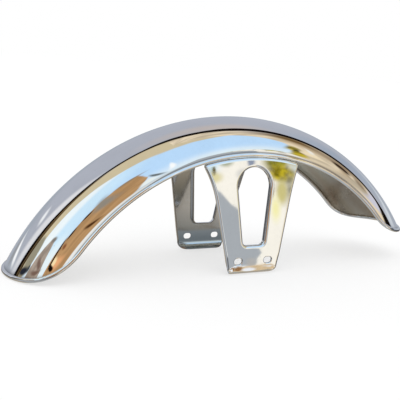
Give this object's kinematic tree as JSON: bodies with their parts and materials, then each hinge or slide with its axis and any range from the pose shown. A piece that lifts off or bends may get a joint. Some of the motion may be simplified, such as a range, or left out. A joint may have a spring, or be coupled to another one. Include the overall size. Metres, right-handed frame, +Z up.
{
  "type": "motorcycle mudguard",
  "caption": "Chromed steel motorcycle front mudguard: an arched blade with a rolled bead round its edge, carried on a pressed fork bridge whose splayed legs have egg-shaped cut-outs and slotted feet",
  "frame": {"origin": "middle of the whole part's box, on the floor", "axes": "+X along the mudguard from its long end to its short end, +Y across the wheel, +Z up; the wheel's axle runs along Y below the floor"},
  "size_m": [0.583, 0.1492, 0.1968],
  "materials": {
    "chrome_blade": "bright chrome plate outside, duller inside",
    "chrome_bridge": "bright chrome plate"
  },
  "bodies": {
    "root": {"mudguard_blade": "chrome_blade", "fork_bridge": "chrome_bridge"}
  },
  "joints": []
}
